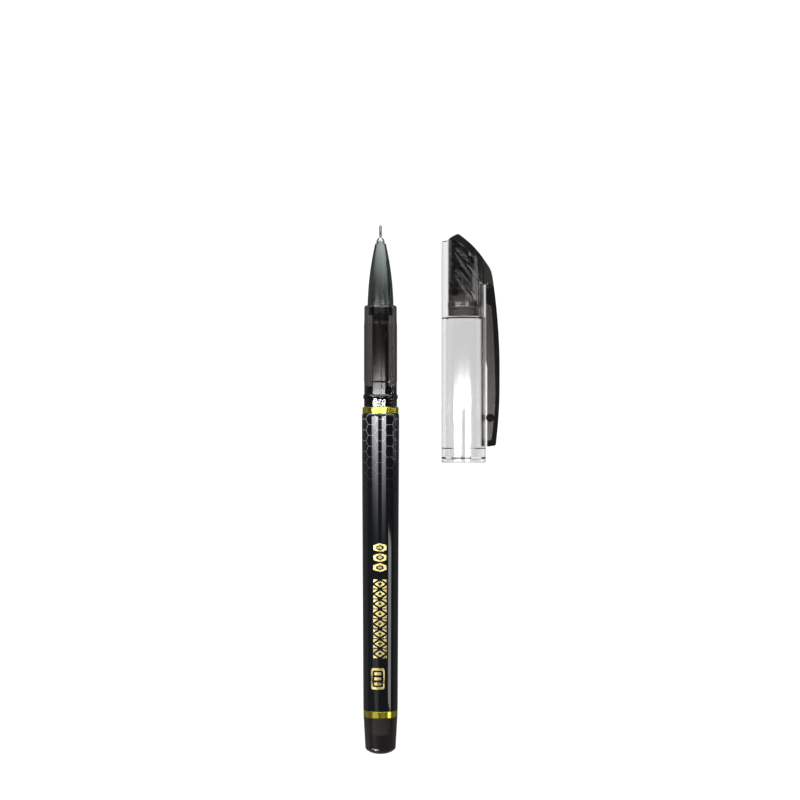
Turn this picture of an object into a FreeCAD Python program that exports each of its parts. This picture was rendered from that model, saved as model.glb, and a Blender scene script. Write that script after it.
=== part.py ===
"""A needle-point marking pen lying on a table, with its clear clip cap beside it.

Millimetres. Row frame: +Z up, the pen's axis along +Y with the point at +Y, the cap at +X.
The origin is on the table, under the middle of the whole object's box.

Every piece is drawn in an axial frame, whose Z runs along the pen or the cap, and is then laid
down by to_row(). In the pen's axial frame z is the row's Y. In the cap's, z is the height above
the cap's mouth and +X points to the clip.
"""
import FreeCAD
import Part

import math
import os

V = FreeCAD.Vector
OUT = "parts"

# ---- Whole object ----
LENGTH = 140.0                     # point to tail, cap off
TIP = LENGTH / 2
TAIL = -LENGTH / 2
CAP_OFFSET = 22.0                  # between the two axes
CAP_MOUTH_Y = 7.1                  # the row's Y of the cap's open end
FIT = 0.03                         # radial gap of pieces pressed together
SLIP = 0.10                        # gap of pieces that turn or slide on each other

# ---- Refill ----
BALL_R = 0.25
BALL_GAP = 0.03
PIPE_R = 0.35
PIPE_BORE_R = 0.15
PIPE_REAR = 63.6
COLLAR_FRONT = 66.55
COLLAR_R = 1.09
COLLAR_STEP = 62.0
COLLAR_REAR = 59.6
COLLAR_SPIGOT_R = 0.80
CHAMBER_R = 0.56                   # spring room in the collar
WIRE_R = 0.06
COIL_R = 0.44
COIL_TOP = 62.6
COIL_TURNS = 12
COIL_PITCH = 0.5
SPRING_SEAT = COIL_TOP - COIL_TURNS * COIL_PITCH - 0.1
FEED_R = 0.36                      # ink feed below the spring's seat
HOLDER_FRONT = 61.6
HOLDER_FLANGE = 55.0
HOLDER_REAR = 50.0
TUBE_R = 2.20
TUBE_BORE_R = 1.65
TUBE_REAR = -58.5
REFILL_REAR = -60.0
INK_REAR = -22.0
FOLLOWER_LENGTH = 5.0
VENT_R = 0.45

# ---- Nose cone and grip section ----
NOSE_FRONT = 65.05
NOSE_REAR = 48.65
NOSE_FRONT_R = 1.45
NOSE_MID_R = 2.86
NOSE_REAR_R = 3.45
NOSE_SPIGOT_R = 3.25
NOSE_SPIGOT_REAR = 46.0
NOSE_BORE_R = 2.45
GRIP_BORE_R = 2.45                 # rear part of the section's bore, round the refill
GRIP_BORE_STEP = 27.2              # ahead of this the bore is as wide as the nose cone's spigot
GRIP_FRONT_R = 4.31
GRIP_LAND_R = 4.39                 # the slightly proud middle that the fingers hold
GRIP_LAND_FRONT = 43.6
GRIP_LAND_REAR = 28.7
GRIP_WAIST_R = 4.33
BEAD_Z = 24.45                     # the bead that the cap snaps over
BEAD_R = 4.61
BEAD_HALF = 0.70
GRIP_TAIL_R = 4.37
GRIP_SHOULDER = 21.80
GRIP_REAR = 12.5

# ---- Thread between section and barrel ----
PITCH = 1.5
THREAD_CORE_R = 3.42
THREAD_CREST_R = 3.84
THREAD_FRONT = 18.6
THREAD_TURNS = 3.5
CREST_WIDTH = 0.35
ROOT_WIDTH = 0.80
NECK_R = 3.84                      # the plain neck that carries the front ring

# ---- Rings and barrel ----
RING_FRONT_R = 4.78
RING_FRONT_REAR = 20.02
RING_REAR_R = 4.52
BARREL_FRONT = 20.0
BARREL_R = 4.96
BARREL_REAR = -58.4
BARREL_REAR_R = 4.56
BARREL_BORE_R = 3.60
BARREL_SOCKET_R = 3.72
BARREL_SOCKET_FRONT = -52.0

# ---- End plug ----
PLUG_FRONT = -60.25
PLUG_FRONT_R = 4.48
PLUG_WAIST = -68.1
PLUG_WAIST_R = 4.05
PLUG_SPIGOT_FRONT = -52.6
PLUG_SOCKET_R = TUBE_R + SLIP + 0.05
PLUG_CORE_R = 1.7
PLUG_CORE_REAR = -65.4

# ---- Cap tube ----
CAP_R = 5.83
CAP_BORE_R = 4.84
LIP_R = 4.575                      # the cap's bore at its lip, a little under the bead
LIP_TOP = 0.95
COUNTERBORE_R = 5.02
COUNTERBORE_TOP = 3.65
LEDGE = 38.3
CROWN_BORE_R = 4.32
CUT_LEFT = (-6.3, 58.15)           # the curved slanted cut across the tube's top, as (x, z)
CUT_BROW = (-2.6, 58.55)
CUT_MID = (1.60, 54.9)
CUT_LOW = (4.10, 49.4)
CUT_RIGHT = (5.95, 46.95)

# ---- Crown and clip, as (x, z) of the cap's side view ----
CROWN_LEFT = (-4.25, 58.60)
APEX_LEFT = (-2.40, 59.75)
APEX = (-1.60, 60.0)
APEX_RIGHT = (-0.85, 59.55)
SLOPE_MID = (3.35, 55.85)
SLOPE_FOOT = (6.55, 51.75)
CORNER = (7.15, 50.55)
CORNER_FOOT = (7.50, 49.20)
ROOT_FOOT = (7.86, 47.0)           # where the crown ends and the clip arm begins
BACK_MID = (8.86, 38.0)
BACK_TOP = (9.43, 22.0)            # where the clip stands furthest out
BACK_LOW_MID = (9.18, 12.6)
BACK_FOOT = (8.50, 5.3)
TOE = (8.15, 4.45)
HEEL = (6.27, 4.20)
CLIP_GAP_X = CAP_R + 0.12          # inner edges of the clip near its root
CLIP_STEP = 25.0                   # below this the gap to the tube is wider
PLUG_BOTTOM = 38.7
COLLAR_LOW = 41.0                  # the plug's snug collar
COLLAR_HIGH = 42.2
COLLAR_TAPER = 0.06
PLUG_R = 4.12
ROOT_HALF_WIDTH = 2.4
TOE_HALF_WIDTH = 2.0
WEB = 1.15                         # thickness of the clip's back
WALL = 0.9                         # thickness of its side walls
KNUCKLE = (6.87, 46.9)             # axis on which the clip arm flexes
KNUCKLE_R = 0.62
SHOULDER_GAP = 0.13                # between the crown's foot and the arm's shoulders
CHEEK = 0.45                       # the crown's cheeks close the knuckle on both sides
CHEEK_R = 0.97
CHEEK_GAP = 0.07
CHANNEL_TOP = 41.2                 # the clip is solid above this
NUB_Z = 11.8
NUB_R = 1.05
SEAL_BOTTOM = 47.9
SEAL_TOP = 51.5
SEAL_R = 1.6

# ---- Crown grooves ----
GROOVE_LIFT = 1.60                 # the groove tool's centre line above the plug's surface
GROOVE_DROP = 5.8                  # from the upper groove to the lower one
GROOVE_LINE = ((-3.10, 56.4), (-1.60, 54.9), (0.40, 52.7), (2.10, 50.4), (3.10, 48.6))
GROOVE_RADII = ((0.0, 1.72), (0.35, 2.10), (0.65, 2.12), (1.0, 1.80))   # (share of the line, radius)

OBJECT_WIDTH = BARREL_R + CAP_OFFSET + BACK_TOP[0]
PEN_X = -OBJECT_WIDTH / 2 + BARREL_R
CAP_X = PEN_X + CAP_OFFSET


# ---- Drawing helpers ----

def edges(points):
    """Edges through (a, b) points in the XZ plane. A point (a, b, mid_a, mid_b) ends an arc through mid."""
    made = []
    here = points[0]
    for there in points[1:]:
        start = V(here[0], 0, here[1])
        end = V(there[0], 0, there[1])
        if len(there) == 4:
            middle = V(there[2], 0, there[3])
            made.append(Part.Arc(start, middle, end).toShape())
        else:
            made.append(Part.LineSegment(start, end).toShape())
        here = there
    return made


def face(points):
    """Plane face inside a closed outline: the last point joins the first with a line."""
    return Part.Face(Part.Wire(edges(points + [points[0][:2]])))


def lathe(points):
    """Solid of revolution about Z from an outline of (radius, z) points."""
    return face(points).revolve(V(0, 0, 0), V(0, 0, 1), 360)


def rod(radius, low, high):
    return Part.makeCylinder(radius, high - low, V(0, 0, low))


def slab(points, half_width):
    """A side-view outline pulled to half_width on each side of the XZ plane."""
    flat = face(points)
    flat.translate(V(0, -half_width, 0))
    return flat.extrude(V(0, 2 * half_width, 0))


def clean(shape):
    """One tidy solid."""
    tidy = shape.removeSplitter()
    return tidy.Solids[0] if len(tidy.Solids) == 1 else tidy


def to_row(shape, x, height, y=0.0):
    """Lays an axial shape down: its Z becomes the row's Y, on the axis at x and height."""
    laid = shape.copy()
    turn = FreeCAD.Rotation(V(1, 0, 0), -90)
    laid.Placement = FreeCAD.Placement(V(x, y, height), turn).multiply(laid.Placement)
    return laid


# ---- Refill ----

def writing_ball():
    return Part.makeSphere(BALL_R, V(0, 0, TIP - BALL_R))


def needle_pipe():
    lip = TIP - 0.16
    seat = TIP - 2 * BALL_R - 0.05
    return lathe([
        (PIPE_R, PIPE_REAR), (PIPE_R, TIP - 0.60), (0.30, lip), (BALL_R + 0.01, lip),
        (BALL_R + BALL_GAP, TIP - BALL_R), (BALL_R + BALL_GAP, seat + 0.13), (PIPE_BORE_R, seat),
        (PIPE_BORE_R, PIPE_REAR)])


def ball_spring():
    """Coil in the holder, with a straight end that runs up the pipe and presses on the ball."""
    low = COIL_TOP - COIL_TURNS * COIL_PITCH
    path = Part.makeHelix(COIL_PITCH, COIL_TURNS * COIL_PITCH, COIL_R)
    path.translate(V(0, 0, low))
    section = Part.Wire(Part.Circle(V(COIL_R, 0, low), V(0, 1, 0), WIRE_R).toShape())
    coil = Part.Wire(path).makePipeShell([section], True, True)
    arm = Part.makeCylinder(WIRE_R, COIL_R, V(0, 0, COIL_TOP), V(1, 0, 0))
    elbow = Part.makeSphere(WIRE_R, V(COIL_R, 0, COIL_TOP))
    stem = rod(WIRE_R, COIL_TOP, TIP - 2 * BALL_R - 0.03)
    root = Part.makeSphere(WIRE_R, V(0, 0, COIL_TOP))
    return coil.fuse([arm, elbow, stem, root])


def needle_collar():
    return lathe([
        (PIPE_R + FIT / 2, COLLAR_FRONT), (0.60, COLLAR_FRONT), (1.00, COLLAR_FRONT - 0.55),
        (COLLAR_R, COLLAR_FRONT - 0.95), (COLLAR_R, COLLAR_STEP), (COLLAR_SPIGOT_R, COLLAR_STEP),
        (COLLAR_SPIGOT_R, COLLAR_REAR), (CHAMBER_R, COLLAR_REAR), (CHAMBER_R, PIPE_REAR - 0.02),
        (PIPE_R + FIT / 2, PIPE_REAR - 0.02)])


def tip_holder():
    bore = COLLAR_SPIGOT_R + FIT
    return lathe([
        (bore, HOLDER_FRONT), (1.22, HOLDER_FRONT), (1.30, HOLDER_FRONT - 0.3), (1.36, 58.4),
        (TUBE_BORE_R, 57.6), (TUBE_BORE_R, HOLDER_FLANGE + 1.0), (TUBE_R, HOLDER_FLANGE + 1.0),
        (TUBE_R, HOLDER_FLANGE), (TUBE_BORE_R - FIT, HOLDER_FLANGE),
        (TUBE_BORE_R - FIT, HOLDER_REAR + 0.3), (TUBE_BORE_R - 0.25, HOLDER_REAR),
        (0.90, HOLDER_REAR), (0.90, SPRING_SEAT - 2.2), (FEED_R, SPRING_SEAT - 1.4),
        (FEED_R, SPRING_SEAT), (CHAMBER_R, SPRING_SEAT), (CHAMBER_R, COLLAR_REAR - FIT),
        (bore, COLLAR_REAR - FIT)])


def ink_tube():
    top = HOLDER_FLANGE - 0.02
    return rod(TUBE_R, TUBE_REAR, top).cut(rod(TUBE_BORE_R, TUBE_REAR - 1, top + 1))


def ink_column():
    return rod(TUBE_BORE_R - FIT, INK_REAR, HOLDER_REAR - 0.05)


def ink_follower():
    """Grease behind the ink, with a dished rear face."""
    rear = INK_REAR - FOLLOWER_LENGTH
    r = TUBE_BORE_R - FIT
    return lathe([
        (0, INK_REAR - 0.02), (r, INK_REAR - 0.02), (r, rear), (0.6 * r, rear + 0.45),
        (0, rear + 0.6)])


def refill_tail_plug():
    spigot = TUBE_BORE_R - FIT
    return lathe([
        (VENT_R, REFILL_REAR), (TUBE_R - 0.3, REFILL_REAR), (TUBE_R, REFILL_REAR + 0.3),
        (TUBE_R, TUBE_REAR - 0.02), (spigot, TUBE_REAR - 0.02), (spigot, TUBE_REAR + 3.2),
        (spigot - 0.25, TUBE_REAR + 3.5), (VENT_R, TUBE_REAR + 3.5)])


# ---- Nose cone and grip section ----

def nose_cone():
    middle = (NOSE_FRONT + NOSE_REAR) / 2
    mouth = COLLAR_R + SLIP
    return lathe([
        (mouth, NOSE_FRONT), (NOSE_FRONT_R - 0.12, NOSE_FRONT),
        (NOSE_FRONT_R, NOSE_FRONT - 0.15, NOSE_FRONT_R - 0.03, NOSE_FRONT - 0.04),
        (NOSE_REAR_R, NOSE_REAR + 0.02, NOSE_MID_R, middle), (NOSE_SPIGOT_R, NOSE_REAR + 0.02),
        (NOSE_SPIGOT_R, NOSE_SPIGOT_REAR), (NOSE_BORE_R, NOSE_SPIGOT_REAR),
        (NOSE_BORE_R, 54.6), (1.50, 61.9), (mouth, 62.5)])


def thread_ridge(core_r, crest_r, crest_width, root_width, front, turns):
    """Right-handed trapezium ridge, running back from front, with its foot sunk in the core."""
    length = turns * PITCH
    low = front - length
    sunk = 0.12
    profile = Part.Wire(edges([
        (core_r - sunk, low - root_width / 2), (crest_r, low - crest_width / 2),
        (crest_r, low + crest_width / 2), (core_r - sunk, low + root_width / 2),
        (core_r - sunk, low - root_width / 2)]))
    path = Part.makeHelix(PITCH, length, core_r)
    path.translate(V(0, 0, low))
    return Part.Wire(path).makePipeShell([profile], True, True)


def grip_section():
    """Smoke-grey section: plain front, proud finger land, cap bead, ring neck and thread."""
    front = NOSE_REAR
    bore = GRIP_BORE_R
    wide = NOSE_SPIGOT_R + FIT
    fillet = 0.62
    body = lathe([
        (wide, front), (GRIP_FRONT_R - fillet, front),
        (GRIP_FRONT_R, front - fillet, GRIP_FRONT_R - 0.29 * fillet, front - 0.29 * fillet),
        (GRIP_FRONT_R, GRIP_LAND_FRONT + 0.8), (GRIP_LAND_R, GRIP_LAND_FRONT),
        (GRIP_LAND_R, GRIP_LAND_REAR), (GRIP_WAIST_R, GRIP_LAND_REAR - 0.5),
        (GRIP_WAIST_R, BEAD_Z + BEAD_HALF),
        (GRIP_TAIL_R, BEAD_Z - BEAD_HALF, BEAD_R, BEAD_Z), (GRIP_TAIL_R, GRIP_SHOULDER + 0.1),
        (GRIP_TAIL_R - 0.1, GRIP_SHOULDER), (NECK_R, GRIP_SHOULDER), (NECK_R, THREAD_FRONT + 0.6),
        (THREAD_CORE_R, THREAD_FRONT + 0.3), (THREAD_CORE_R, GRIP_REAR + 0.3),
        (THREAD_CORE_R - 0.3, GRIP_REAR), (bore, GRIP_REAR), (bore, GRIP_BORE_STEP - 0.6),
        (wide, GRIP_BORE_STEP)])
    ridge = thread_ridge(
        THREAD_CORE_R, THREAD_CREST_R, CREST_WIDTH, ROOT_WIDTH, THREAD_FRONT - 0.2, THREAD_TURNS)
    return clean(body.fuse(ridge))


# ---- Rings, barrel and end plug ----

def front_ring():
    high = GRIP_SHOULDER - 0.03
    low = RING_FRONT_REAR
    bore = NECK_R + SLIP
    r = RING_FRONT_R
    return lathe([
        (bore, low), (r - 0.12, low), (r, low + 0.12), (r, high - 0.25), (r - 0.22, high),
        (bore, high)])


def barrel():
    """Black tapered tube with the section's thread in front and the end plug's socket behind."""
    outer = lathe([
        (0, BARREL_FRONT), (BARREL_R - 0.18, BARREL_FRONT),
        (BARREL_R, BARREL_FRONT - 0.7, BARREL_R - 0.05, BARREL_FRONT - 0.3),
        (BARREL_REAR_R, BARREL_REAR + 0.05), (BARREL_REAR_R - 0.05, BARREL_REAR), (0, BARREL_REAR)])
    inside = rod(BARREL_BORE_R, BARREL_REAR - 1, BARREL_FRONT + 1)
    mouth = rod(NECK_R + 1.5 * SLIP, THREAD_FRONT + 0.25, BARREL_FRONT + 1)
    socket = rod(BARREL_SOCKET_R, BARREL_REAR - 1, BARREL_SOCKET_FRONT)
    groove = thread_ridge(
        BARREL_BORE_R - 0.1, THREAD_CREST_R + SLIP, CREST_WIDTH + 2 * SLIP,
        ROOT_WIDTH + 2 * SLIP, THREAD_FRONT - 0.2 + PITCH, THREAD_TURNS + 2)
    return clean(outer.cut(inside).cut(groove).cut(mouth).cut(socket))


def rear_ring():
    low = PLUG_FRONT + 0.02
    high = BARREL_REAR - 0.02
    bore = BARREL_SOCKET_R
    r = RING_REAR_R
    return lathe([
        (bore, low), (r - 0.10, low), (r, low + 0.12), (r, high - 0.12), (r - 0.10, high),
        (bore, high)])


def end_plug():
    spigot = BARREL_SOCKET_R - FIT
    stop = REFILL_REAR - 0.2
    return lathe([
        (0, TAIL), (PLUG_WAIST_R - 0.55, TAIL + 0.85, 2.1, TAIL + 0.16),
        (PLUG_WAIST_R, PLUG_WAIST, PLUG_WAIST_R - 0.10, PLUG_WAIST - 0.55),
        (PLUG_FRONT_R, PLUG_FRONT), (spigot, PLUG_FRONT), (spigot, PLUG_SPIGOT_FRONT - 0.4),
        (spigot - 0.3, PLUG_SPIGOT_FRONT), (PLUG_SOCKET_R + 0.3, PLUG_SPIGOT_FRONT),
        (PLUG_SOCKET_R, PLUG_SPIGOT_FRONT - 0.4), (PLUG_SOCKET_R, stop), (PLUG_CORE_R, stop),
        (PLUG_CORE_R, PLUG_CORE_REAR + 0.5), (PLUG_CORE_R - 0.5, PLUG_CORE_REAR),
        (0, PLUG_CORE_REAR)])


# ---- Cap ----

def above_cut(lift):
    """Everything above the tube's slanted cut, moved up by lift."""
    wide = 8.0
    high = 64.0
    far_right = CUT_RIGHT[0] + 6
    left, brow, middle, low, right = [
        (x, z + lift) for x, z in (CUT_LEFT, CUT_BROW, CUT_MID, CUT_LOW, CUT_RIGHT)]
    return slab([
        (left[0] - 2, left[1]), left, (*brow, -4.4, 58.60 + lift), (*low, *middle),
        (*right, 4.50, 47.80 + lift), (far_right, right[1] - 2), (far_right, high),
        (left[0] - 2, high)], wide)


def cap_tube():
    """Clear tube: snap lip at the mouth, stepped bore, ledge under the crown and slanted top."""
    high = 60.5
    outer = lathe([
        (LIP_R + 0.22, 0), (CAP_R - 0.35, 0), (CAP_R, 0.4, CAP_R - 0.08, 0.1), (CAP_R, high),
        (CROWN_BORE_R, high), (CROWN_BORE_R, LEDGE), (CAP_BORE_R, LEDGE - 0.35),
        (CAP_BORE_R, COUNTERBORE_TOP + 0.25), (COUNTERBORE_R, COUNTERBORE_TOP),
        (COUNTERBORE_R, LIP_TOP + 0.5), (LIP_R, LIP_TOP), (LIP_R, 0.2)])
    return clean(outer.cut(above_cut(0)))


def crown_outline():
    """Side view of the crown's shell over the cut, down to the clip's knuckle."""
    hollow = KNUCKLE_R + SLIP
    kx, kz = KNUCKLE
    foot = ROOT_FOOT[1]
    reach = math.sqrt(hollow ** 2 - (foot - kz) ** 2)
    return [
        (CROWN_LEFT[0], 50.0), CROWN_LEFT, (*APEX_LEFT, -3.35, 59.28), (*APEX_RIGHT, *APEX),
        (*SLOPE_FOOT, *SLOPE_MID), (*CORNER_FOOT, *CORNER), ROOT_FOOT, (kx + reach, foot),
        (kx - reach, foot, kx, kz + hollow), (CLIP_GAP_X - 0.05, foot), (3.5, 46.9)]


def crown_plug():
    """Round plug inside the tube. It stays below the shell's slope and has one snug collar."""
    top = 62.0
    bottom = PLUG_BOTTOM
    solid = lathe([
        (0, bottom), (PLUG_R - 0.15, bottom), (PLUG_R, bottom + 0.2), (PLUG_R, COLLAR_LOW - 0.15),
        (CROWN_BORE_R - FIT - COLLAR_TAPER, COLLAR_LOW), (CROWN_BORE_R - FIT, COLLAR_HIGH),
        (PLUG_R, COLLAR_HIGH + 0.15), (PLUG_R, top), (0, top)])
    return solid.common(slab([
        (-5.0, 30.0), (-5.0, 58.0), CROWN_LEFT, (-2.6, 58.9), (2.3, 55.2), (5.0, 50.6),
        (5.0, 30.0)], 6.0))


def crown_hollow():
    """Room in the plug for the nose cone, and above it the seal's pocket."""
    bottom = PLUG_BOTTOM
    return lathe([
        (0, bottom - 1), (3.15, bottom - 1), (3.15, bottom), (2.95, bottom + 0.4), (2.75, 44.0),
        (1.80, 45.6), (SEAL_R + FIT, 46.4), (SEAL_R + FIT, SEAL_TOP + 0.05),
        (0, SEAL_TOP + 0.05)])


def crown_groove(drop, side):
    """Tool for one slanted curved groove, on the plug's upper (side 1) or lower (side -1) face."""
    reach = PLUG_R + GROOVE_LIFT
    line = Part.BSplineCurve()
    line.interpolate([V(x, side * math.sqrt(reach ** 2 - x ** 2), z - drop) for x, z in GROOVE_LINE])
    rings = []
    for share, radius in GROOVE_RADII:
        here = line.FirstParameter + share * (line.LastParameter - line.FirstParameter)
        ring = Part.Circle(line.value(here), line.tangent(here)[0], radius)
        rings.append(Part.Wire(ring.toShape()))
    return Part.Wire(line.toShape()).makePipeShell(rings, True, False)


def knuckle_discs(radius, thick, half_width):
    """Two discs on the knuckle's axis, whose outer faces are half_width from the middle."""
    return [
        Part.makeCylinder(radius, thick, V(KNUCKLE[0], low, KNUCKLE[1]), V(0, 1, 0))
        for low in (-half_width, half_width - thick)]


def crown():
    """Smoke-grey crown: plug inside the tube, shell over the slanted cut and root of the clip."""
    shell = slab(crown_outline(), 7.0).common(above_cut(FIT))
    root = Part.makeBox(9.0, 2 * ROOT_HALF_WIDTH, 20.0, V(0, -ROOT_HALF_WIDTH, 44.0))
    shell = shell.common(rod(CAP_R, 45.0, 62.0).fuse(root))
    for cheek in knuckle_discs(CHEEK_R, CHEEK, ROOT_HALF_WIDTH):
        shell = shell.fuse(cheek)
    body = crown_plug()
    for drop in (0.0, GROOVE_DROP):
        for side in (1, -1):
            body = body.cut(crown_groove(drop, side))
    return clean(body.fuse(shell).cut(crown_hollow()))


def clip_arm():
    """Smoke-grey channel, open towards the tube, with a gripping nub near its toe."""
    kx, kz = KNUCKLE
    half = ROOT_HALF_WIDTH
    inside = half - WALL
    top = ROOT_FOOT[1] - SHOULDER_GAP
    web_x = BACK_TOP[0] - WEB
    arm = slab([
        (ROOT_FOOT[0], top), (*BACK_TOP, *BACK_MID), (*BACK_FOOT, *BACK_LOW_MID),
        (*TOE, BACK_FOOT[0] - 0.08, BACK_FOOT[1] - 0.55), HEEL, (HEEL[0], CLIP_STEP),
        (CLIP_GAP_X, CLIP_STEP + 2.0), (CLIP_GAP_X, top)], half)
    knuckle = Part.makeCylinder(KNUCKLE_R, 2 * half, V(kx, -half, kz), V(0, 1, 0))
    channel = slab([
        (4.0, CHANNEL_TOP + 2.0), (BACK_MID[0] - WEB - 0.35, CHANNEL_TOP),
        (web_x, BACK_TOP[1], BACK_MID[0] - WEB + 0.12, 34.0),
        (BACK_FOOT[0] - WEB - 0.1, BACK_FOOT[1] + 0.6, BACK_LOW_MID[0] - WEB, BACK_LOW_MID[1]),
        (4.0, BACK_FOOT[1] + 0.3)], inside)
    nub_x = CLIP_GAP_X + NUB_R
    nub = Part.makeCylinder(NUB_R, 2 * inside + 0.2, V(nub_x, -inside - 0.1, NUB_Z), V(0, 1, 0))
    bridge = slab([
        (nub_x, NUB_Z - 0.45), (web_x + 0.3, NUB_Z - 0.45), (web_x + 0.3, NUB_Z + 0.45),
        (nub_x, NUB_Z + 0.45)], inside + 0.1)
    arm = arm.cut(channel).fuse([knuckle, nub, bridge])
    room = CHEEK + CHEEK_GAP
    return clean(arm.common(clip_plan()).cut(knuckle_discs(CHEEK_R + CHEEK_GAP, room, half)))


def clip_plan():
    """The clip seen from outside, narrowing from its root to its toe."""
    low = 3.0
    high = KNUCKLE[1] + 3.0
    plan = Part.makePolygon([
        V(0, -TOE_HALF_WIDTH, low), V(0, TOE_HALF_WIDTH, low), V(0, ROOT_HALF_WIDTH, high),
        V(0, -ROOT_HALF_WIDTH, high), V(0, -TOE_HALF_WIDTH, low)])
    return Part.Face(plan).extrude(V(12, 0, 0))


def tip_seal():
    """Soft plug in the crown. The point rests in its dimple when the cap is on."""
    return lathe([
        (0, SEAL_BOTTOM + 0.3), (0.9, SEAL_BOTTOM, 0.5, SEAL_BOTTOM + 0.08), (SEAL_R, SEAL_BOTTOM),
        (SEAL_R, SEAL_TOP), (0, SEAL_TOP)])


PEN_PIECES = {
    "writing_ball": writing_ball,
    "needle_pipe": needle_pipe,
    "ball_spring": ball_spring,
    "needle_collar": needle_collar,
    "tip_holder": tip_holder,
    "ink_tube": ink_tube,
    "ink_column": ink_column,
    "ink_follower": ink_follower,
    "refill_tail_plug": refill_tail_plug,
    "nose_cone": nose_cone,
    "grip_section": grip_section,
    "front_ring": front_ring,
    "barrel": barrel,
    "rear_ring": rear_ring,
    "end_plug": end_plug,
}
CAP_PIECES = {
    "cap_tube": cap_tube,
    "crown": crown,
    "clip_arm": clip_arm,
    "tip_seal": tip_seal,
}


def write(name, shape):
    solids = len(shape.Solids)
    print("%-17s solids %d  valid %s  volume %.3f" % (name, solids, shape.isValid(), shape.Volume))
    shape.exportStep(os.path.join(OUT, name + ".step"))


def main():
    os.makedirs(OUT, exist_ok=True)
    print("pen axis x %.3f z %.3f, cap axis x %.3f z %.3f" % (PEN_X, BARREL_R, CAP_X, CAP_R))
    print("thread advance per turn %.3f mm, %.2f radians per metre" % (PITCH, 2000 * math.pi / PITCH))
    for name, make in PEN_PIECES.items():
        write(name, to_row(make(), PEN_X, BARREL_R))
    for name, make in CAP_PIECES.items():
        write(name, to_row(make(), CAP_X, CAP_R, CAP_MOUTH_Y))


main()
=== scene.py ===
"""Looks of the needle-point marking pen and its clear clip cap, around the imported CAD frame.

Metres, in the frame's axes: +Z up from the table, +Y to the pen's point, +X from pen to cap.
"""
import math

import bmesh
import bpy
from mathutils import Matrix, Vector

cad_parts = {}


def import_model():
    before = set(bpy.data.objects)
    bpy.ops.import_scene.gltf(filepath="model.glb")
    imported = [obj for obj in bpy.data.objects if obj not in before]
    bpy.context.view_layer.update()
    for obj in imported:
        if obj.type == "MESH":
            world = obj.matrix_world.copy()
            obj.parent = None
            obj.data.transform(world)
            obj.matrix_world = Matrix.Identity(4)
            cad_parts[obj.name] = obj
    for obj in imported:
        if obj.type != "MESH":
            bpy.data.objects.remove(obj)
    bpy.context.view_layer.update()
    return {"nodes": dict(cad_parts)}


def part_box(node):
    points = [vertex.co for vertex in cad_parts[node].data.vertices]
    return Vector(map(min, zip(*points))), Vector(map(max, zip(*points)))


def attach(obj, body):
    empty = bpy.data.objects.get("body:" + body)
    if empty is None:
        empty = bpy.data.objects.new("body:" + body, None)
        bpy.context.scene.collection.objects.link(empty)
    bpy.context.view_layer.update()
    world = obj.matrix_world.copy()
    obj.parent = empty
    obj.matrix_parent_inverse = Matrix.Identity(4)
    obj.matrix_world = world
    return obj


MM = 0.001

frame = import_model()
nodes = frame["nodes"]
scene = bpy.context.scene


# ---- Places, from the CAD ----

BARREL_LOW, BARREL_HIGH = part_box("barrel")
PEN_X = (BARREL_LOW[0] + BARREL_HIGH[0]) / 2
PEN_Z = (BARREL_LOW[2] + BARREL_HIGH[2]) / 2
BARREL_FRONT_Y = BARREL_HIGH[1]
BARREL_REAR_Y = BARREL_LOW[1]
BARREL_FRONT_R = (BARREL_HIGH[2] - BARREL_LOW[2]) / 2
BARREL_REAR_R = 4.56 * MM


# ---- Node helpers ----

class Graph:
    """Short calls for building a node tree."""

    def __init__(self, tree):
        self.tree = tree

    def add(self, kind, **settings):
        node = self.tree.nodes.new(kind)
        for name, value in settings.items():
            setattr(node, name, value)
        return node

    def link(self, source, target):
        self.tree.links.new(source, target)

    def feed(self, socket, value):
        """Links an output or sets a plain value."""
        if isinstance(value, bpy.types.NodeSocket):
            self.link(value, socket)
        else:
            socket.default_value = value

    def math(self, operation, *values):
        node = self.add("ShaderNodeMath", operation=operation)
        for socket, value in zip(node.inputs, values):
            self.feed(socket, value)
        return node.outputs[0]

    def vector(self, operation, *values):
        node = self.add("ShaderNodeVectorMath", operation=operation)
        for socket, value in zip(node.inputs, values):
            self.feed(socket, value)
        return node.outputs["Vector"]

    def split(self, vector):
        """The outputs X, Y and Z of a vector."""
        node = self.add("ShaderNodeSeparateXYZ")
        self.link(vector, node.inputs["Vector"])
        return node.outputs

    def ramp(self, value, low, high, to_low=0.0, to_high=1.0):
        """Clamped linear map of value."""
        node = self.add("ShaderNodeMapRange")
        self.feed(node.inputs["Value"], value)
        limits = {"From Min": low, "From Max": high, "To Min": to_low, "To Max": to_high}
        for name, limit in limits.items():
            self.feed(node.inputs[name], limit)
        return node.outputs["Result"]

    def mix(self, factor, first, second):
        """Colour mix."""
        node = self.add("ShaderNodeMix", data_type="RGBA")
        self.feed(node.inputs["Factor"], factor)
        self.feed(node.inputs[6], first)
        self.feed(node.inputs[7], second)
        return node.outputs[2]

    def noise(self, scale, detail, vector=None):
        node = self.add("ShaderNodeTexNoise")
        node.inputs["Scale"].default_value = scale
        node.inputs["Detail"].default_value = detail
        self.link(vector or self.place(), node.inputs["Vector"])
        return node.outputs["Fac"]

    def place(self):
        """The point on the object at rest, in metres."""
        return self.add("ShaderNodeTexCoord").outputs["Object"]

    def stretched(self, across, along):
        """place() scaled across the pen and along it."""
        node = self.add("ShaderNodeMapping")
        self.link(self.place(), node.inputs["Vector"])
        node.inputs["Scale"].default_value = (across, along, across)
        return node.outputs["Vector"]

    def bump(self, height, strength, distance):
        node = self.add("ShaderNodeBump")
        node.inputs["Strength"].default_value = strength
        node.inputs["Distance"].default_value = distance
        self.link(height, node.inputs["Height"])
        return node.outputs["Normal"]


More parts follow.
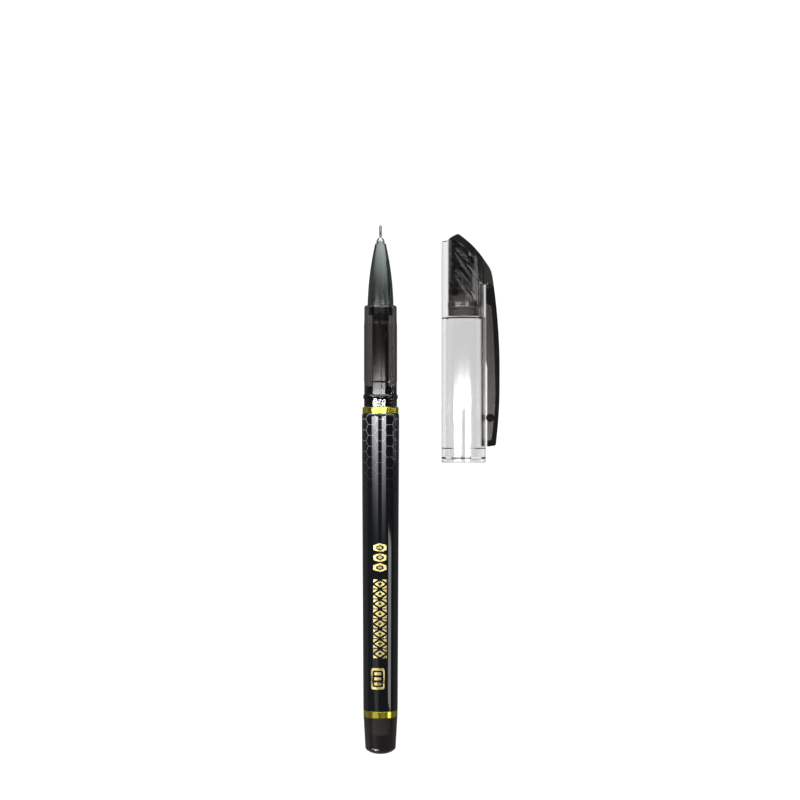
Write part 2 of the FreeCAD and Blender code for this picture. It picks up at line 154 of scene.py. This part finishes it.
def new_material(name):
    material = bpy.data.materials.new(name)
    material.use_nodes = True
    graph = Graph(material.node_tree)
    shader = material.node_tree.nodes["Principled BSDF"]
    return material, graph, shader


def colour(red, green, blue):
    return (red, green, blue, 1.0)


def grey(level):
    return colour(level, level, level)


# ---- Materials ----

SCRATCH_STRETCH = 5.0              # how much longer than wide a scratch is
SCRATCH_NOISE = (0.3, 0.75)        # noise values of the smoothest and of the roughest spots
FLOW_HEIGHT = 0.05 * MM
FLUTE_LEAN = (-0.06, -0.24)        # Y of the normal where a flute's wall begins, and is full
FLUTE_ROUGHNESS = 0.36
WORN_NOISE = (0.55, 0.75)          # noise values where the foil begins to wear, and is worn


def fine_scratches(graph, scale, smooth, rough):
    """Roughness that varies in faint streaks along the pen."""
    streaks = graph.noise(1.0, 3.0, graph.stretched(scale, scale / SCRATCH_STRETCH))
    return graph.ramp(streaks, *SCRATCH_NOISE, smooth, rough)


def flow(graph, across, along, strength):
    """Normal of a surface with the faint waves of moulded plastic."""
    waves = graph.noise(1.0, 2.0, graph.stretched(across, along))
    return graph.bump(waves, strength, FLOW_HEIGHT)


def clear_plastic():
    material, graph, shader = new_material("clear_plastic")
    shader.inputs["Base Color"].default_value = colour(0.82, 0.815, 0.815)
    shader.inputs["Transmission Weight"].default_value = 1.0
    shader.inputs["IOR"].default_value = 1.49
    graph.link(fine_scratches(graph, 900.0, 0.01, 0.03), shader.inputs["Roughness"])
    graph.link(flow(graph, 220.0, 60.0, 0.05), shader.inputs["Normal"])
    return material


def satin_flutes(graph, polish):
    """Rougher on the walls that lean to the rear, as in the crown's flutes."""
    normal = graph.split(graph.add("ShaderNodeTexCoord").outputs["Normal"])
    return graph.ramp(normal["Y"], *FLUTE_LEAN, polish, FLUTE_ROUGHNESS)


def smoke_plastic(name, density, tint, haze=0.0, satin=0.0, flutes=False):
    """Tinted see-through plastic. haze is the share of light that its pigment scatters.

    satin is added to the polished plastic's roughness. flutes roughens walls that lean to the rear.
    """
    material, graph, shader = new_material(name)
    shader.inputs["Base Color"].default_value = colour(0.97, 0.965, 0.96)
    shader.inputs["Transmission Weight"].default_value = 1.0 - haze
    shader.inputs["IOR"].default_value = 1.5
    polish = fine_scratches(graph, 700.0, 0.03 + satin, 0.06 + satin)
    graph.link(satin_flutes(graph, polish) if flutes else polish, shader.inputs["Roughness"])
    graph.link(flow(graph, 180.0, 50.0, 0.015), shader.inputs["Normal"])
    absorb = graph.add("ShaderNodeVolumeAbsorption")
    absorb.inputs["Color"].default_value = colour(*tint)
    absorb.inputs["Density"].default_value = density
    graph.link(absorb.outputs["Volume"], material.node_tree.nodes["Material Output"].inputs["Volume"])
    return material


def cloudy(name, dark, light, cloud, scratches, metallic=0.0):
    """Opaque material between two colours. cloud and scratches hold a noise's settings."""
    material, graph, shader = new_material(name)
    shader.inputs["Metallic"].default_value = metallic
    mixed = graph.mix(graph.noise(*cloud), colour(*dark), colour(*light))
    graph.link(mixed, shader.inputs["Base Color"])
    graph.link(fine_scratches(graph, *scratches), shader.inputs["Roughness"])
    return material


def metal(name, dark, light, cloud, scratches):
    return cloudy(name, dark, light, cloud, scratches, metallic=1.0)


def moulded(name, dark, light, smooth, rough):
    """Moulded plastic, ink, grease or rubber."""
    return cloudy(name, dark, light, (500.0, 3.0), (900.0, smooth, rough))


def gold_print():
    """Hot-stamped foil: thinner and duller than the rings, with worn specks."""
    material, graph, shader = new_material("gold_print")
    shader.inputs["Metallic"].default_value = 1.0
    worn = graph.ramp(graph.noise(2500.0, 4.0), *WORN_NOISE)
    foil_colour = graph.mix(worn, colour(0.70, 0.58, 0.24), colour(0.50, 0.38, 0.12))
    graph.link(foil_colour, shader.inputs["Base Color"])
    graph.link(graph.ramp(graph.noise(600.0, 3.0), 0.3, 0.7, 0.22, 0.34), shader.inputs["Roughness"])
    return material


HEX_TURNS = 6                      # honeycomb periods round the barrel, two columns each
HEX_PITCH = 2.85                   # cell height along the pen, mm
HEX_LINE_BEGINS = 0.091            # distance from a cell's edge where its line begins, mm
HEX_LINE_FULL = 0.0455             # distance from a cell's edge where its line is full, mm
HEX_FADE = 25.0                    # length over which the print fades out, mm
HEX_FADE_POWER = 2.2


def honeycomb(graph):
    """Line mask of flat-topped hexagons wrapped round the barrel, fading to the rear."""
    point = graph.split(graph.place())
    x = graph.math("SUBTRACT", point["X"], PEN_X)
    z = graph.math("SUBTRACT", point["Z"], PEN_Z)
    behind = graph.math("SUBTRACT", BARREL_FRONT_Y, point["Y"])
    side = HEX_PITCH / math.sqrt(3)
    angle = graph.math("ARCTAN2", x, z)
    across = graph.math("MULTIPLY", angle, HEX_TURNS * 3 * side / (2 * math.pi))
    along = graph.math("MULTIPLY", behind, 1 / MM)
    unrolled = graph.add("ShaderNodeCombineXYZ")
    graph.link(across, unrolled.inputs["X"])
    graph.link(along, unrolled.inputs["Y"])
    half = (1.5 * side, HEX_PITCH / 2, 1.0)
    minus_half = tuple(-v for v in half)
    distances = []
    for shift in ((0.0, 0.0, 0.0), half):
        moved = graph.vector("SUBTRACT", unrolled.outputs["Vector"], shift)
        wrapped = graph.vector("WRAP", moved, half, minus_half)
        cell = graph.split(graph.vector("ABSOLUTE", wrapped))
        rise = graph.math("MULTIPLY", cell["Y"], 0.5)
        slanted = graph.math("MULTIPLY_ADD", cell["X"], math.sqrt(3) / 2, rise)
        distances.append(graph.math("MAXIMUM", cell["Y"], slanted))
    nearest = graph.math("MINIMUM", *distances)
    edge = HEX_PITCH / 2
    line = graph.ramp(nearest, edge - HEX_LINE_BEGINS, edge - HEX_LINE_FULL)
    fade = graph.ramp(along, 0.0, HEX_FADE, 1.0, 0.0)
    return graph.math("MULTIPLY", line, graph.math("POWER", fade, HEX_FADE_POWER))


def black_gloss():
    material, graph, shader = new_material("black_gloss")
    lines = honeycomb(graph)
    cloud = graph.noise(120.0, 3.0)
    black = graph.mix(cloud, colour(0.0018, 0.0021, 0.003), colour(0.0032, 0.0036, 0.0046))
    graph.link(graph.mix(lines, black, colour(0.17, 0.17, 0.20)), shader.inputs["Base Color"])
    graph.link(fine_scratches(graph, 800.0, 0.035, 0.065), shader.inputs["Roughness"])
    shader.inputs["IOR"].default_value = 1.48
    return material


def dress(material, *node_names):
    """Gives CAD nodes a material."""
    for node_name in node_names:
        mesh = nodes[node_name].data
        mesh.materials.clear()
        mesh.materials.append(material)


dress(clear_plastic(), "cap_tube")
dress(smoke_plastic("smoke_plastic", 1350.0, (0.22, 0.19, 0.17)), "grip_section")
dress(smoke_plastic("plug_smoke_plastic", 900.0, (0.25, 0.20, 0.18), haze=0.003, satin=0.12), "end_plug")
dress(smoke_plastic("crown_smoke_plastic", 1000.0, (0.24, 0.21, 0.18), haze=0.006, flutes=True), "crown")
dress(smoke_plastic("clip_smoke_plastic", 2200.0, (0.24, 0.21, 0.17), haze=0.004), "clip_arm")
dress(metal("gold", (0.56, 0.49, 0.045), (0.66, 0.59, 0.07), (400.0, 3.0), (1500.0, 0.16, 0.26)),
      "front_ring", "rear_ring")
dress(metal("dark_chrome", (0.135, 0.155, 0.155), (0.165, 0.185, 0.182), (300.0, 2.0), (1200.0, 0.17, 0.26)),
      "nose_cone")
dress(metal("steel", (0.30, 0.30, 0.29), (0.38, 0.375, 0.36), (2000.0, 2.0), (3000.0, 0.18, 0.30)),
      "writing_ball", "needle_pipe", "needle_collar", "ball_spring")
dress(moulded("holder_plastic", (0.012, 0.013, 0.016), (0.018, 0.02, 0.023), 0.25, 0.4), "tip_holder")
dress(moulded("tube_plastic", (0.03, 0.032, 0.036), (0.045, 0.046, 0.05), 0.2, 0.3),
      "ink_tube", "refill_tail_plug")
dress(moulded("ink", (0.003, 0.003, 0.005), (0.006, 0.006, 0.009), 0.05, 0.12), "ink_column")
dress(moulded("follower_grease", (0.62, 0.56, 0.36), (0.70, 0.64, 0.42), 0.1, 0.2), "ink_follower")
dress(moulded("seal_rubber", (0.015, 0.015, 0.015), (0.03, 0.03, 0.03), 0.6, 0.8), "tip_seal")
dress(black_gloss(), "barrel")


# ---- Gold print on the barrel ----

FOIL = gold_print()
FOIL_SUNK = 0.01 * MM
FOIL_PROUD = 0.03 * MM
FOIL_STEP = 0.3 * MM                       # longest side of an outline's divisions
FOIL_WELD = 0.001 * MM
FOIL_CREASE = math.radians(40)
PRINT_FRONT = BARREL_FRONT_Y - 33.9 * MM
PRINT_TURN = 0.1 * MM                      # the tiles' middle, left of the top of the barrel
TILE_PITCH = 2.62 * MM
TILE_HALF = (1.16 * MM, 1.78 * MM)         # along the pen, round the barrel
TILE_GAP = 1.7 * MM                        # between the two groups of tiles
FRONT_TILES = 3
REAR_TILES = 8
HEXAGON_HOLE = 0.58                        # these shares are of the tile's size
HEXAGON_CORE = 0.30
LOZENGE = 0.78
LOZENGE_HOLE = 0.42                        # share of the lozenge
TRIANGLE_REACH = 0.30
BADGE_HALF = (2.8 * MM, 1.85 * MM)
BADGE_GAP = 2.5 * MM
BADGE_TURN = 0.7 * MM
BADGE_ROUND = 0.6 * MM
BADGE_HOLE = 0.78
BADGE_BAR_HALF = (0.36 * MM, BADGE_HALF[1] * 0.50)
BADGE_BAR_ROUND = 0.15 * MM
BADGE_BAR_PITCH = 1.35 * MM


def barrel_radius(y):
    share = (BARREL_FRONT_Y - y) / (BARREL_FRONT_Y - BARREL_REAR_Y)
    return BARREL_FRONT_R + (BARREL_REAR_R - BARREL_FRONT_R) * share


def on_barrel(y, across, lift):
    """A point on the barrel at y, across to the right of its top, with lift over the surface."""
    radius = barrel_radius(y)
    angle = across / radius
    reach = radius + lift
    return (PEN_X + reach * math.sin(angle), y, PEN_Z + reach * math.cos(angle))


def polygon(corners, half):
    """Regular polygon, with corners on the pen's direction, stretched to half its size each way."""
    turns = [2 * math.pi * k / corners for k in range(corners)]
    wide = max(math.sin(turn) for turn in turns)
    return [(half[0] * math.cos(turn), half[1] * math.sin(turn) / wide) for turn in turns]


def rounded(half, radius, steps=4):
    """Rectangle with round corners."""
    points = []
    for corner in range(4):
        sign_y = 1 if corner in (0, 3) else -1
        sign_x = 1 if corner in (0, 1) else -1
        for step in range(steps + 1):
            turn = math.pi / 2 * (corner + step / steps)
            points.append((sign_y * (half[0] - radius) + radius * math.cos(turn),
                           sign_x * (half[1] - radius) + radius * math.sin(turn)))
    return points


def shrunk(half, share):
    return tuple(share * v for v in half)


def finer(outline):
    """The outline with its long sides divided."""
    points = []
    for here, there in zip(outline, outline[1:] + outline[:1]):
        parts = max(1, math.ceil(math.dist(here, there) / FOIL_STEP))
        for part in range(parts):
            share = part / parts
            points.append(tuple(a + (b - a) * share for a, b in zip(here, there)))
    return points


def foil(mesh, centre, outline, hole=0.0, rings=3):
    """Thin gold shape wrapped on the barrel. hole is the share of the outline left open."""
    outline = finer(outline)
    count = len(outline)
    layers = []
    for lift in (FOIL_PROUD, -FOIL_SUNK):
        layer = []
        for ring in range(rings + 1):
            size = hole + (1.0 - hole) * ring / rings
            layer.append([
                mesh.verts.new(on_barrel(centre[0] + y * size, centre[1] + x * size, lift))
                for y, x in outline])
        layers.append(layer)
    top, bottom = layers
    for k in range(count):
        after = (k + 1) % count
        for ring in range(rings):
            inner, outer = top[ring], top[ring + 1]
            mesh.faces.new((inner[k], outer[k], outer[after], inner[after])).smooth = True
            inner, outer = bottom[ring], bottom[ring + 1]
            mesh.faces.new((inner[after], outer[after], outer[k], inner[k]))
        for ring in (0, rings):
            upper, lower = top[ring], bottom[ring]
            wall = (upper[k], lower[k], lower[after], upper[after])
            mesh.faces.new(wall if ring else wall[::-1])


def gold_piece(name, draw):
    """A gold print whose shapes draw(mesh) makes, riding on the barrel."""
    mesh = bmesh.new()
    draw(mesh)
    bmesh.ops.remove_doubles(mesh, verts=mesh.verts, dist=FOIL_WELD)
    bmesh.ops.recalc_face_normals(mesh, faces=mesh.faces)
    for edge in mesh.edges:
        if len(edge.link_faces) == 2 and edge.calc_face_angle() > FOIL_CREASE:
            edge.smooth = False
    data = bpy.data.meshes.new(name)
    mesh.to_mesh(data)
    mesh.free()
    data.materials.append(FOIL)
    piece = bpy.data.objects.new(name, data)
    scene.collection.objects.link(piece)
    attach(piece, "barrel")


def hexagon_tile(mesh, y):
    """Open hexagon with a small solid one in its middle."""
    centre = (y, -PRINT_TURN)
    foil(mesh, centre, polygon(6, TILE_HALF), hole=HEXAGON_HOLE)
    foil(mesh, centre, polygon(6, shrunk(TILE_HALF, HEXAGON_CORE)))


def patchwork_tile(mesh, y):
    """Quilt block: a lozenge with a triangle in each corner of its square."""
    centre = (y, -PRINT_TURN)
    foil(mesh, centre, polygon(4, shrunk(TILE_HALF, LOZENGE)), hole=LOZENGE_HOLE)
    for sign_y in (-1, 1):
        for sign_x in (-1, 1):
            corner = (sign_y * TILE_HALF[0], sign_x * TILE_HALF[1])
            arm_y = (TRIANGLE_REACH * corner[0], corner[1])
            arm_x = (corner[0], TRIANGLE_REACH * corner[1])
            middle = tuple(sum(v) / 3 for v in zip(corner, arm_y, arm_x))
            outline = [(v[0] - middle[0], v[1] - middle[1]) for v in (corner, arm_y, arm_x)]
            foil(mesh, (centre[0] + middle[0], centre[1] + middle[1]), outline)


def front_tiles(mesh):
    for k in range(FRONT_TILES):
        hexagon_tile(mesh, PRINT_FRONT - (k + 0.5) * TILE_PITCH)


def rear_tiles(mesh):
    start = PRINT_FRONT - FRONT_TILES * TILE_PITCH - TILE_GAP
    for k in range(REAR_TILES):
        patchwork_tile(mesh, start - (k + 0.5) * TILE_PITCH)


def badge(mesh):
    """Rounded frame with three bars."""
    tiles = (FRONT_TILES + REAR_TILES) * TILE_PITCH + TILE_GAP
    y = PRINT_FRONT - tiles - BADGE_GAP - BADGE_HALF[0]
    foil(mesh, (y, -BADGE_TURN), rounded(BADGE_HALF, BADGE_ROUND), hole=BADGE_HOLE)
    for step in (-1, 0, 1):
        centre = (y + step * BADGE_BAR_PITCH, -BADGE_TURN)
        foil(mesh, centre, rounded(BADGE_BAR_HALF, BADGE_BAR_ROUND))


gold_piece("hexagon_print", front_tiles)
gold_piece("patchwork_print", rear_tiles)
gold_piece("badge_print", badge)


# ---- Floor, world, lights, camera ----

FLOOR_HALF = 1.5
FLOOR_DARK = 0.05
FLOOR_LIGHT = 0.06
FLOOR_GLOW = 1.0
FLOOR_GLOW_MIRRORED = 0.05         # the pen's glossy sides mirror a dimmer table
WORLD_DIM = 0.07
WORLD_BRIGHT = 3.3
WORLD_RISE = (0.23, 0.62)          # Y of the directions where the world begins to brighten, and is bright
WORLD_RIGHT = 0.08                 # what a direction's X to the right adds to its Y
BAR_HEIGHT = 0.57
BAR_RADIANCE = 30.0
BAR_FALLOFF = 5.5
BAR_LINE_Y = 0.0205                # where the overhead bars are brightest
BAR_Y = (-0.12, 0.070)
BAR_LEFT_X = (PEN_X - 0.80, PEN_X - 0.148)
BAR_RIGHT_X = (0.070, 0.37)
BAR_MIDDLE_X = (BAR_LEFT_X[1], 0.03)   # ends short of the right bar, which leaves the clip dark
BAR_MIDDLE_Y = (0.0155, BAR_Y[1])
TAIL_Y = (-0.165, -0.04)
TAIL_RADIANCE = 0.7
CAMERA_X = -0.00807
CAMERA_Y = 0.0236
CAMERA_HEIGHT = 0.575
VIEW_HEIGHT = 0.005                # the level at which the picture is VIEW_WIDTH wide
VIEW_WIDTH = 0.212


def floor():
    mesh = bpy.data.meshes.new("floor")
    signs = ((-1, -1), (1, -1), (1, 1), (-1, 1))
    corners = [(x * FLOOR_HALF, y * FLOOR_HALF, 0) for x, y in signs]
    mesh.from_pydata(corners, [], [(0, 1, 2, 3)])
    piece = bpy.data.objects.new("floor", mesh)
    scene.collection.objects.link(piece)
    material, graph, shader = new_material("floor")
    paper = graph.noise(60.0, 4.0)
    graph.link(graph.mix(paper, grey(FLOOR_DARK), grey(FLOOR_LIGHT)), shader.inputs["Base Color"])
    shader.inputs["Roughness"].default_value = 0.9
    shader.inputs["Specular IOR Level"].default_value = 0.1
    shader.inputs["Emission Color"].default_value = grey(1.0)
    path = graph.add("ShaderNodeLightPath")
    mirrored = graph.math("SUBTRACT", path.outputs["Is Glossy Ray"], path.outputs["Is Transmission Ray"])
    glow = graph.ramp(mirrored, 0.0, 1.0, FLOOR_GLOW, FLOOR_GLOW_MIRRORED)
    graph.link(glow, shader.inputs["Emission Strength"])
    mesh.materials.append(material)


def world():
    """Dim overhead and at the sides, brighter towards +Y, most of all on the right."""
    surroundings = bpy.data.worlds.new("world")
    scene.world = surroundings
    surroundings.use_nodes = True
    graph = Graph(surroundings.node_tree)
    direction = graph.split(graph.add("ShaderNodeTexCoord").outputs["Generated"])
    right = graph.math("MAXIMUM", direction["X"], 0.0)
    ahead = graph.math("MULTIPLY_ADD", right, WORLD_RIGHT, direction["Y"])
    background = surroundings.node_tree.nodes["Background"]
    background.inputs["Color"].default_value = grey(1.0)
    strength = graph.ramp(ahead, *WORLD_RISE, WORLD_DIM, WORLD_BRIGHT)
    graph.link(strength, background.inputs["Strength"])


def area_light(name, at, look, size, radiance):
    light = bpy.data.lights.new(name, "AREA")
    light.shape = "RECTANGLE"
    light.size, light.size_y = size
    light.energy = radiance * math.pi * size[0] * size[1]
    lamp = bpy.data.objects.new(name, light)
    lamp.location = at
    lamp.rotation_euler = (Vector(look) - Vector(at)).to_track_quat("-Z", "Y").to_euler()
    scene.collection.objects.link(lamp)
    return light


def hanging_light(name, x_range, y_range, radiance):
    """Level light over the table, facing down."""
    at = ((x_range[0] + x_range[1]) / 2, (y_range[0] + y_range[1]) / 2, BAR_HEIGHT)
    size = (x_range[1] - x_range[0], y_range[1] - y_range[0])
    return area_light(name, at, (at[0], at[1], 0.0), size, radiance)


def side_light(name, target, direction, distance, size, radiance):
    """Light that faces target from the given direction. size is across and up."""
    at = Vector(target) + Vector(direction).normalized() * distance
    area_light(name, at, target, size, radiance)


def fade_light(light, peak):
    """Makes a light brightest on one line across it and dark at both of its long edges."""
    light.use_nodes = True
    graph = Graph(light.node_tree)
    spot = graph.split(graph.add("ShaderNodeNewGeometry").outputs["Parametric"])
    rear = graph.ramp(spot["Y"], 0.0, peak)
    front = graph.ramp(spot["Y"], peak, 1.0, 1.0, 0.0)
    strength = graph.math("POWER", graph.math("MINIMUM", rear, front), BAR_FALLOFF)
    graph.link(strength, light.node_tree.nodes["Emission"].inputs["Strength"])


def lights():
    bars = {
        "bar_left": (BAR_LEFT_X, BAR_Y),
        "bar_right": (BAR_RIGHT_X, BAR_Y),
        "bar_middle": (BAR_MIDDLE_X, BAR_MIDDLE_Y),
    }
    for name, (x_range, y_range) in bars.items():
        light = hanging_light(name, x_range, y_range, BAR_RADIANCE)
        fade_light(light, (BAR_LINE_Y - y_range[0]) / (y_range[1] - y_range[0]))
    hanging_light("tail", BAR_LEFT_X, TAIL_Y, TAIL_RADIANCE)
    side_light("side_strip", target=(PEN_X, -0.055, PEN_Z), direction=(0.88, -0.07, 0.47),
               distance=0.5, size=(0.085, 0.18), radiance=4.7)
    side_light("crown_strip", target=(0.0087, 0.0835, PEN_Z), direction=(0.906, 0.0, 0.42),
               distance=0.5, size=(0.022, 0.20), radiance=2.2)
    side_light("back", target=(0.0, CAMERA_Y, 0.0), direction=(-0.53, -0.68, 0.50),
               distance=1.0, size=(0.45, 0.45), radiance=28.0)


def camera():
    data = bpy.data.cameras.new("camera")
    data.sensor_width = 36.0
    data.lens = data.sensor_width * (CAMERA_HEIGHT - VIEW_HEIGHT) / VIEW_WIDTH
    data.clip_start = 0.01
    data.clip_end = 20.0
    eye = bpy.data.objects.new("camera", data)
    eye.location = (CAMERA_X, CAMERA_Y, CAMERA_HEIGHT)
    scene.collection.objects.link(eye)
    scene.camera = eye


floor()
world()
lights()
camera()
scene.view_settings.view_transform = "Standard"
